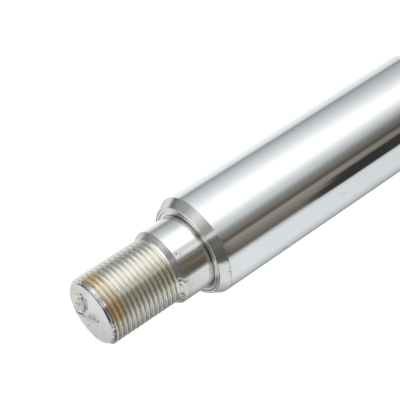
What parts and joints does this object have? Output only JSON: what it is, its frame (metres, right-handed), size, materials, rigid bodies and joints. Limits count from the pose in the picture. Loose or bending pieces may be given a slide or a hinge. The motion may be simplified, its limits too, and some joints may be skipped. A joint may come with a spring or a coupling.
{
  "type": "piston rod",
  "caption": "Hard-chromed hydraulic piston rod with a chamfered shoulder, a ground spigot and a fine-threaded end for the piston.",
  "frame": {"origin": "centre of the plain end face, on which the rod stands", "axes": "+Z along the rod's axis, from the plain end to the threaded end; the rod is round about Z"},
  "size_m": [0.03, 0.03, 0.1262],
  "materials": {
    "chromed_steel": "mirror-polished hard chrome; turned steel at the shoulder, spigot and thread"
  },
  "bodies": {
    "root": {"piston_rod": "chromed_steel"}
  },
  "joints": []
}
